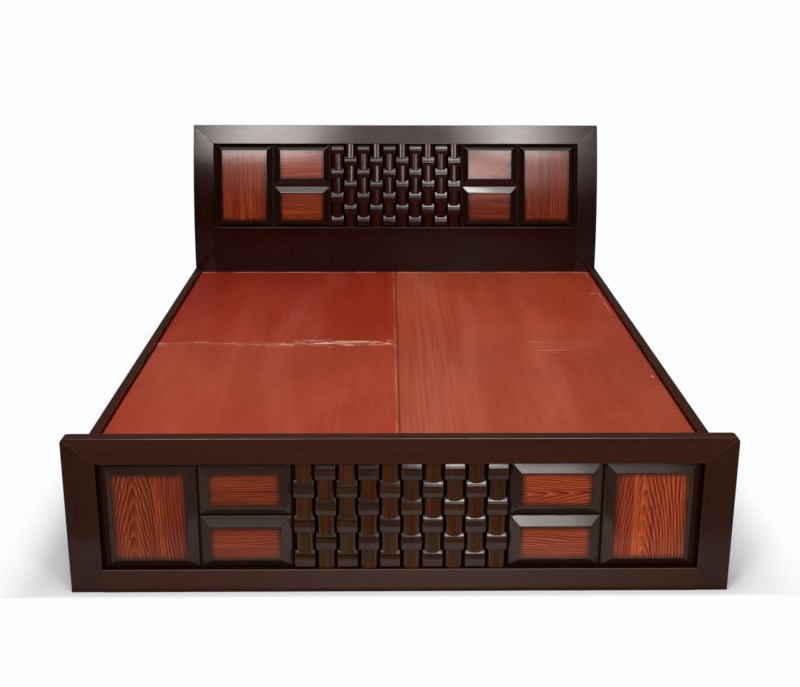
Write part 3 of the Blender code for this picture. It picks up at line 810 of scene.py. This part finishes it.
# Basket weave
# One board carved by hand into lying and upright strands that pass over each other by turns, stained and
# lacquered with the frame. Each strand is a little different, and the footboard's upright ones have flatter
# fronts than the headboard's.
WEAVE_COLUMNS = 10
WEAVE_PITCH = 0.0604
WEAVE_PLATE = 0.005
CROWN = 0.0138
SINK = 0.002
LYING_REACH = 0.0292
LYING_SIDE_GAP = 0.0005
LYING_SLOPE = math.radians(28)
LYING_DROP = 0.0110
LYING_UNDER = 0.0095
LYING_ARRIS = 0.0028
LYING_EDGE = 0.0014
LYING_ROOT = -0.004
BULGE_CUTS = (0.15, 0.35, 0.5, 0.65, 0.85)
UPRIGHT_HALF = 0.0246
UPRIGHT_REACH = 0.009
UPRIGHT_TUCK = 0.0004
# An upright strand's crest runs up to this, so its painted light is brighter than a lying strand's and it
# takes its own polish.
UPRIGHT_WEIGHT = 1.5
SHIFT = 0.0004
DEPTH_SHIFT = 0.0007
TILT = 0.008
SKEW = 0.012
FOOT_WEAVE = {"rows": 6, "first_lies": False, "bulge": 0.0030, "round": 0.0180, "crown": 0.0084}
HEAD_WEAVE = {"rows": 7, "first_lies": True, "bulge": 0.0048, "round": 0.0240, "crown": 0.0100}
FOOT_WEAVE_TINT = (0.82, 1.25, 1.15)
HEAD_WEAVE_TINT = (0.46, 0.34, 0.24)
carver = random.Random(11)


def keep_crest(strand, crown, weight):
    """Note with the mesh how near the top of its strand each point lies."""
    leave_edit()
    crest = strand.data.attributes.new("crest", "FLOAT", "POINT")
    for vertex in strand.data.vertices:
        crest.data[vertex.index].value = weight * max(0.0, -vertex.co.y / crown)
    return strand


def lying_strand(pitch, bulge):
    """A strand with a bulging front, a slope cut back from its upper edge and a rounded lower edge."""
    half = pitch / 2 - LYING_SIDE_GAP
    front = bulge - CROWN
    upper, lower = half - LYING_DROP, LYING_UNDER - half
    strand = new_board("lying_strand", (-LYING_REACH, front, -half), (LYING_REACH, SINK, half))
    edit(strand)
    slope = (0, -math.cos(LYING_SLOPE), math.sin(LYING_SLOPE))
    saw((0, front, upper), slope, use_fill=True, clear_outer=True)

    def runs_along(edge):
        start, end = (v.co for v in edge.verts)
        return abs(start.x - end.x) > LYING_REACH and start.y < -SLACK

    def at_tip(edge):
        at_side = all(abs(abs(v.co.x) - LYING_REACH) < HAIR for v in edge.verts)
        return at_side and any(v.co.y < LYING_ROOT for v in edge.verts)

    round_edges(lambda edge: runs_along(edge) and edge.verts[0].co.z < HAIR - half, LYING_UNDER, 6)
    for share in BULGE_CUTS:
        saw((0, 0, lower + share * (upper - lower)), (0, 0, 1))
    round_edges(lambda edge: runs_along(edge) and edge.verts[0].co.z > upper - HAIR, LYING_EDGE)
    leave_edit()
    for vertex in strand.data.vertices:
        if vertex.co.y < front + HAIR:
            share = (vertex.co.z - (upper + lower) / 2) / ((upper - lower) / 2)
            vertex.co.y -= bulge * max(0.0, 1 - share ** 2)
    edit(strand)
    round_edges(at_tip, LYING_ARRIS)
    return keep_crest(strand, CROWN, 1.0)


def upright_strand(pitch, side_round, crown):
    """A strand with rounded sides and a flat or round front, which runs in under the lying ones."""
    half = pitch / 2 + UPRIGHT_REACH
    strand = new_board("upright_strand", (-UPRIGHT_HALF, -side_round, -half), (UPRIGHT_HALF, SINK, half))
    edit(strand)

    def at_side(edge):
        first, second = (v.co for v in edge.verts)
        return abs(first.z - second.z) > half and first.y < 0

    round_edges(at_side, side_round, 10)
    leave_edit()
    strand.scale.y = crown / side_round
    bpy.ops.object.transform_apply()
    return keep_crest(strand, crown, UPRIGHT_WEIGHT)


def copy_of(pattern):
    """A copy of a piece, with its own mesh."""
    take(pattern)
    bpy.ops.object.duplicate(linked=False)
    return bpy.context.object


def join(first, others):
    """Join pieces into the first one, and put its place into its mesh."""
    take(first)
    for piece in others:
        piece.select_set(True)
    bpy.ops.object.join()
    bpy.ops.object.transform_apply()


def carve_weave(end, cut, stain):
    """Lay out copies of the two strands on a thin plate and join them into one carving."""
    node = end.name + "_weave_panel"
    rows = cut["rows"]
    low = end.low + JOINT_GAP
    high = end.high - JOINT_GAP
    pitch = (high - low) / rows
    surface = end.front + RECESS_DEPTH - WEAVE_PLATE
    half = WEAVE_COLUMNS * WEAVE_PITCH / 2
    plate = new_board("carved_" + node, (-half, surface, low), (half, surface + WEAVE_PLATE, high))
    edit(plate)
    for row in range(1, rows):
        saw((0, 0, low + row * pitch), (0, 0, 1))
    leave_edit()
    patterns = {True: lying_strand(pitch, cut["bulge"]),
                False: upright_strand(pitch, cut["round"], cut["crown"])}
    copies = []
    for row in range(rows):
        for column in range(WEAVE_COLUMNS):
            lies = ((row + column) % 2 == 0) == cut["first_lies"]
            copy = copy_of(patterns[lies])
            z = high - (row + 0.5) * pitch
            if not lies and row in (0, rows - 1):
                copy.scale.z = (pitch + UPRIGHT_REACH) / (pitch + 2 * UPRIGHT_REACH)
                z += (UPRIGHT_REACH / 2 + UPRIGHT_TUCK) * (-1 if row == 0 else 1)
            copy.location = (-half + (column + 0.5) * WEAVE_PITCH + carver.uniform(-SHIFT, SHIFT),
                             surface + carver.uniform(0.0, DEPTH_SHIFT), z)
            copy.rotation_euler = [carver.uniform(-turn, turn) for turn in (TILT, SKEW, TILT)]
            own_tone = carver.random()
            strand = copy.data.attributes.new("strand", "FLOAT", "POINT")
            for mark in strand.data:
                mark.value = own_tone
            copies.append(copy)
    for pattern in patterns.values():
        bpy.data.objects.remove(pattern)
    join(plate, copies)
    lean_back(end, plate, slices=0)
    soften(plate)
    plate.data.materials.append(stain)
    stand_for(plate, node)


foot_weave_stain = dark_stain("stain_foot_weave_panel", "Z", FOOT_WEAVE_TINT, 0.10, 0.5, 0.28)
head_weave_stain = dark_stain("stain_head_weave_panel", "Z", HEAD_WEAVE_TINT, 0.09, 0.36, 0.88)
carve_weave(foot_end, FOOT_WEAVE, foot_weave_stain)
carve_weave(head_end, HEAD_WEAVE, head_weave_stain)


# Side rails and cleats
# The rails are 25 mm boards stained with the ends. Bare softwood cleats run round the inside
# and carry the lids.
RAIL_TINT = (0.8, 0.7, 0.6)
PINE_PALE = (0.60, 0.42, 0.235)
PINE_MIDDLE = (0.54, 0.35, 0.18)
PINE_DARK = (0.40, 0.225, 0.10)


def raw_pine(name, along):
    """Bare softwood with straight growth lines along one axis."""
    material, tree, shader = new_finish(name)
    place = object_place(tree)
    lines = noise(tree, place, grain(along, 95.0, 1.4), detail=3, distortion=0.5)
    fibres = noise(tree, place, grain(along, 380.0, 9.0), detail=2)
    wood = ramp(tree, lines, (0.34, PINE_PALE), (0.52, PINE_MIDDLE), (0.64, PINE_DARK))
    wood = shaded(tree, wood, spread(tree, fibres, 0.3, 0.7, 0.88, 1.06))
    plug(tree, shader, {"Base Color": wood, "Roughness": 0.62,
                        "Normal": bump(tree, fibres, 0.10, 0.0005)})
    return material


def dress(material, *nodes):
    """CAD nodes that keep their shape get their finish."""
    for node in nodes:
        cad_nodes[node].material_slots[0].material = material


pine_long = raw_pine("raw_pine_long", "Y")
pine_across = raw_pine("raw_pine_across", "X")
dress(dark_stain("rail_stain", "Y", RAIL_TINT), "left_side_rail", "right_side_rail")
dress(pine_long, "left_lid_cleat", "right_lid_cleat")
dress(pine_across, "foot_lid_cleat", "head_lid_cleat")


# Inside of the box
# Plywood partitions stand under the lids' seams, and a floor of two plywood boards lies on softwood
# bearers, with one foot under the middle bearer. All of it is left bare.
ply_long = raw_ply("raw_ply_long", "Y")
dress(ply_long, "centre_partition", "left_floor_board", "right_floor_board")
dress(ply_across, "left_cross_partition")
dress(pine_across, "right_cross_bearer", "floor_bearer_foot", "floor_bearer_middle", "floor_bearer_head",
      "centre_support_foot")


# Corner brackets and hinges
# Pressed steel angles inside the four corners and butt hinges along the rails, all bronzed dark.
# Cross-slotted screws hold them: round heads in the angles, low heads in the hinge leaves.
ANGLE_PLATE = 0.003
ANGLE_SCREW_STEP = 0.032
LEAF_PLATE = 0.0012
LEAF_SCREW_UP = 0.008
LEAF_SCREW_STEP = 0.022
ROUND_HEAD_RADIUS = 0.0055
ROUND_HEAD_RISE = 0.0024
LOW_HEAD_RADIUS = 0.0032
LOW_HEAD_RISE = 0.0005
HEAD_SINK = 0.0004
RIM_SHARE = 0.75
SLOT_LENGTH_SHARE = 0.62
SLOT_WIDTH_SHARE = 0.11
SLOT_DEPTH_SHARE = 0.5
SLOT_DEPTH_MOST = 0.0004
STEEL_DARK = (0.040, 0.032, 0.028)
STEEL_MIDDLE = (0.070, 0.056, 0.046)
STEEL_RUBBED = (0.150, 0.115, 0.085)
screwdriver = random.Random(5)


def bronzed_steel(name):
    """Dark chemically bronzed steel, rubbed brighter in patches."""
    material, tree, shader = new_finish(name)
    patches = noise(tree, object_place(tree), (55.0, 55.0, 55.0), detail=4)
    metal = ramp(tree, patches, (0.35, STEEL_DARK), (0.62, STEEL_MIDDLE), (0.80, STEEL_RUBBED))
    plug(tree, shader, {"Base Color": metal, "Metallic": 0.9,
                        "Roughness": spread(tree, patches, 0.3, 0.7, 0.50, 0.34),
                        "Normal": bump(tree, patches, 0.08, 0.0003)})
    return material


steel = bronzed_steel("bronzed_steel")
dress(steel, *(node for node in cad_nodes if node.endswith(("_bracket", "_leaf"))))


def screw_head(radius, rise):
    """A screw head with a rounded rim and a cross cut into it, on the ground plane."""
    bpy.ops.object.select_all(action="DESELECT")
    bpy.ops.mesh.primitive_cylinder_add(vertices=20, radius=radius, depth=rise + HEAD_SINK,
                                        location=(0, 0, (rise - HEAD_SINK) / 2))
    head = bpy.context.object
    bpy.ops.object.transform_apply()
    edit(head)
    round_edges(lambda edge: all(v.co.z > rise - HAIR / 10 for v in edge.verts), RIM_SHARE * rise)
    leave_edit()
    long = SLOT_LENGTH_SHARE * radius
    narrow = SLOT_WIDTH_SHARE * radius
    deep = min(SLOT_DEPTH_SHARE * rise, SLOT_DEPTH_MOST)
    for x, y in ((long, narrow), (narrow, long)):
        cut_away(head, new_board("slot_cutter", (-x, -y, rise - deep), (x, y, 2 * rise)))
    return head


def drive_screws(name, body, head, places):
    """Set a copy of the head at each place and facing, and join them into one piece on a body."""
    screws = []
    for place, facing in places:
        screw = copy_of(head)
        turn = Matrix.Rotation(screwdriver.uniform(0, math.pi), 3, "Z")
        screw.rotation_euler = (Vector(facing).to_track_quat("Z", "Y").to_matrix() @ turn).to_euler()
        screw.location = place
        screws.append(screw)
    join(screws[0], screws[1:])
    screws[0].name = name
    screws[0].data.name = name
    soften(screws[0])
    screws[0].data.materials.append(steel)
    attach(screws[0], body)


angle_places = []
for end_name, into in (("foot", 1), ("head", -1)):
    for side, out in (("left", -1), ("right", 1)):
        low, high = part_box(f"{end_name}_{side}_bracket")
        middle = (low + high) / 2
        rail_face = (high.x if out > 0 else low.x) - out * ANGLE_PLATE
        end_face = (low.y if into > 0 else high.y) + into * ANGLE_PLATE
        for step in (-ANGLE_SCREW_STEP, ANGLE_SCREW_STEP):
            angle_places.append(((rail_face, middle.y, middle.z + step), (-out, 0, 0)))
            angle_places.append(((middle.x, end_face, middle.z + step), (0, into, 0)))
round_head = screw_head(ROUND_HEAD_RADIUS, ROUND_HEAD_RISE)
drive_screws("bracket_screws", "bedstead", round_head, angle_places)

low_head = screw_head(LOW_HEAD_RADIUS, LOW_HEAD_RISE)
rail_places = []
for lid, hinges, out in (("left_front_lid", 2, -1), ("left_rear_lid", 2, -1), ("right_lid", 3, 1)):
    lid_places = []
    for hinge in range(1, hinges + 1):
        low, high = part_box(f"{lid}_hinge_{hinge}_rail_leaf")
        lid_low, lid_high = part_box(f"{lid}_hinge_{hinge}_lid_leaf")
        rail_leaf_face = (high.x if out > 0 else low.x) - out * LEAF_PLATE
        lid_leaf_face = (lid_low.x + lid_high.x) / 2 + out * LEAF_PLATE / 2
        for step in (-LEAF_SCREW_STEP, 0, LEAF_SCREW_STEP):
            y = (low.y + high.y) / 2 + step
            rail_places.append(((rail_leaf_face, y, low.z + LEAF_SCREW_UP), (-out, 0, 0)))
            lid_places.append(((lid_leaf_face, y, low.z + LEAF_SCREW_UP), (out, 0, 0)))
    drive_screws(lid + "_screws", lid, low_head, lid_places)
drive_screws("rail_leaf_screws", "bedstead", low_head, rail_places)
for pattern in (round_head, low_head):
    bpy.data.objects.remove(pattern)


# Lids
# Three boards faced in red-brown and bare below, lying loose on the cleats but for their hinges.
# The face is dulled in patches and streaked by use, rubbed white along the cross seam, scratched on the
# right and chipped at the edges. Painted sheen lies over it in pale hazy patches and in a pale path beside
# the long seam, and each sheet's colour changes from front to rear with painted shade.
CROSS_SEAM = -0.0073
LONG_SEAM_LINE = -0.009
RIGHT_RAIL_LINE = 0.892
LID_TOP = 0.349
SHEEN_PATH = 0.11
LID_DARK = (0.220, 0.0240, 0.0085)
LID_RED = (0.260, 0.0345, 0.0135)
LID_PALE = (0.296, 0.0490, 0.0220)
SHEEN_COLOUR = (0.42, 0.130, 0.085)
PATH_SHEEN_COLOUR = (0.40, 0.140, 0.090)
RUB_COLOUR = (0.66, 0.41, 0.30)
SCRATCH_COLOUR = (0.58, 0.33, 0.24)
CHIP_COLOUR = (0.66, 0.44, 0.32)
PALE_LINE_COLOUR = (0.55, 0.27, 0.19)
CHIPS = ((0.862, 0.604, 0.016), (0.890, -0.337, 0.014))


def off_line(tree, value, line):
    """How far a value lies from a line, on either side."""
    return maths(tree, "ABSOLUTE", maths(tree, "SUBTRACT", value, line))


def rubbed_parts(tree, place, x, y):
    """Strokes along the left cross seam, more towards the middle of the bed."""
    rubs = noise(tree, place, (10.0, 52.0, 1.0), detail=5, rough=0.72, distortion=0.9)
    near = spread(tree, off_line(tree, y, CROSS_SEAM), 0.006, 0.080, 1.0, 0.0)
    inward = spread(tree, x, -0.80, -0.08, 0.78, 1.0)
    left_only = spread(tree, x, -0.008, -0.002, 1.0, 0.0)
    weight = times(tree, near, inward, left_only)
    strokes = maths(tree, "MULTIPLY_ADD", weight, 0.27, rubs)
    return times(tree, spread(tree, strokes, 0.72, 0.88), left_only)


def scratched_parts(tree, place, x, y):
    """Long fine scratches across the right lid."""
    lines = noise(tree, place, (3.2, 300.0, 1.0), detail=2)
    zone_x = times(tree, spread(tree, x, 0.44, 0.58), spread(tree, x, 0.72, 0.82, 1.0, 0.0))
    zone_y = times(tree, spread(tree, y, -0.26, -0.18), spread(tree, y, 0.03, 0.10, 1.0, 0.0))
    return times(tree, spread(tree, lines, 0.60, 0.70), times(tree, zone_x, zone_y))


def pale_line_parts(tree, place, x, y):
    """Pale lines beside the long seam, at the head end and along the rear of the right rail."""
    seam = spread(tree, off_line(tree, x, LONG_SEAM_LINE), 0.0, 0.007, 0.22, 0.0)
    rear = spread(tree, y, 0.914, 0.926, 0.0, 0.6)
    outer = spread(tree, off_line(tree, x, RIGHT_RAIL_LINE), 0.0, 0.006, 0.40, 0.0)
    outer = times(tree, outer, spread(tree, y, 0.20, 0.45))
    edges = maths(tree, "MAXIMUM", seam, maths(tree, "MAXIMUM", rear, outer))
    patchy = spread(tree, noise(tree, place, (9.0, 9.0, 1.0), detail=3), 0.35, 0.6)
    return times(tree, edges, patchy)


def bare_underside(tree, place):
    """Bare plywood, as inside the box."""
    waves = noise(tree, place, (8.0, 0.9, 1.0), detail=4, distortion=1.2)
    lines = maths(tree, "FRACT", times(tree, waves, 8.0))
    return ramp(tree, lines, (0.0, (0.45, 0.28, 0.15)), (0.6, (0.41, 0.25, 0.13)),
                (0.9, (0.34, 0.19, 0.09)), (1.0, (0.44, 0.27, 0.14)))


def lid_face(name, front_cast, rear_cast):
    """Red-brown faced board, each sheet of its own tone with painted shade from front to rear and painted
    sheen, with its wear; bare plywood below.
    """
    material, tree, shader = new_finish(name)
    coords = add_node(tree, "TexCoord").outputs
    place = coords["Object"]
    x, y, _ = xyz(tree, place)
    mottle = noise(tree, place, (3.0, 1.6, 1.0), detail=4, rough=0.6)
    streaks = noise(tree, place, (105.0, 1.8, 1.0), detail=4)
    hatch = noise(tree, place, (260.0, 9.0, 1.0), detail=3)
    grit = noise(tree, place, (70.0, 48.0, 1.0), detail=5, rough=0.7)
    haze_and_sheen = noise(tree, place, (6.0, 0.8, 1.0), detail=4)

    # the sheet's own colour, with painted sheen in pale hazy patches and in a pale path beside the long
    # seam
    face = ramp(tree, mottle, (0.28, LID_DARK), (0.50, LID_RED), (0.72, LID_PALE))
    shade = times(tree, spread(tree, streaks, 0.25, 0.75, 0.93, 1.05),
                  spread(tree, hatch, 0.3, 0.7, 0.95, 1.04))
    shade = times(tree, shade, spread(tree, grit, 0.3, 0.7, 0.91, 1.07))
    # painted shade: each sheet's colour changes from front to rear, the left rear lid darker and redder
    # towards the headboard, the right lid darker towards the foot
    cast = blend(tree, spread(tree, y, -0.35, 0.42), front_cast, rear_cast)
    face = blend(tree, 1.0, shaded(tree, face, shade), cast, "MULTIPLY")
    # painted sheen: pale hazy patches, and a pale path beside the long seam
    face = blend(tree, spread(tree, haze_and_sheen, 0.50, 0.80, 0.0, 0.22), face, SHEEN_COLOUR)
    in_path = spread(tree, off_line(tree, x, SHEEN_PATH), 0.02, 0.15, 1.0, 0.0)
    path_sheen = times(tree, in_path, spread(tree, streaks, 0.35, 0.7, 0.06, 0.26))
    face = blend(tree, path_sheen, face, PATH_SHEEN_COLOUR)

    # marks of use
    rubbed = rubbed_parts(tree, place, x, y)
    whitened = times(tree, rubbed, spread(tree, x, -0.60, -0.10, 0.42, 0.76))
    face = blend(tree, whitened, face, RUB_COLOUR)
    scratched = times(tree, scratched_parts(tree, place, x, y), 0.5)
    face = blend(tree, scratched, face, SCRATCH_COLOUR)
    for chip_x, chip_y, size in CHIPS:
        reach = add_node(tree, "VectorMath", {0: place, 1: (chip_x, chip_y, LID_TOP)}, operation="DISTANCE")
        ragged = maths(tree, "MULTIPLY_ADD", grit, 0.050, -0.022)
        ragged = maths(tree, "ADD", reach.outputs["Value"], ragged)
        face = blend(tree, spread(tree, ragged, size * 0.2, size, 0.45, 0.0), face, CHIP_COLOUR)
    face = blend(tree, pale_line_parts(tree, place, x, y), face, PALE_LINE_COLOUR)

    _, _, up = xyz(tree, coords["Normal"])
    under = spread(tree, up, -0.8, -0.5, 1.0, 0.0)
    face = blend(tree, under, face, bare_underside(tree, place))
    dull = spread(tree, haze_and_sheen, 0.35, 0.75, 0.30, 0.44)
    for part in (under, rubbed):
        dull = maths(tree, "ADD", dull, times(tree, part, 0.2))
    relief = maths(tree, "ADD", streaks, times(tree, rubbed, 0.8))
    plug(tree, shader, {"Base Color": face, "Roughness": dull, "Specular IOR Level": 0.25,
                        "Normal": bump(tree, relief, 0.06, 0.0008)})
    return material


# Each lid's colour at its front and rear: its own tone with painted shade.
for node, front_cast, rear_cast in (("left_front_lid", (1.0, 1.02, 1.05), (1.0, 1.0, 1.0)),
                                    ("left_rear_lid", (1.0, 0.85, 0.80), (0.90, 0.46, 0.30)),
                                    ("right_lid", (0.88, 0.92, 0.93), (1.12, 1.02, 0.95))):
    dress(lid_face("face_" + node, front_cast, rear_cast), node)
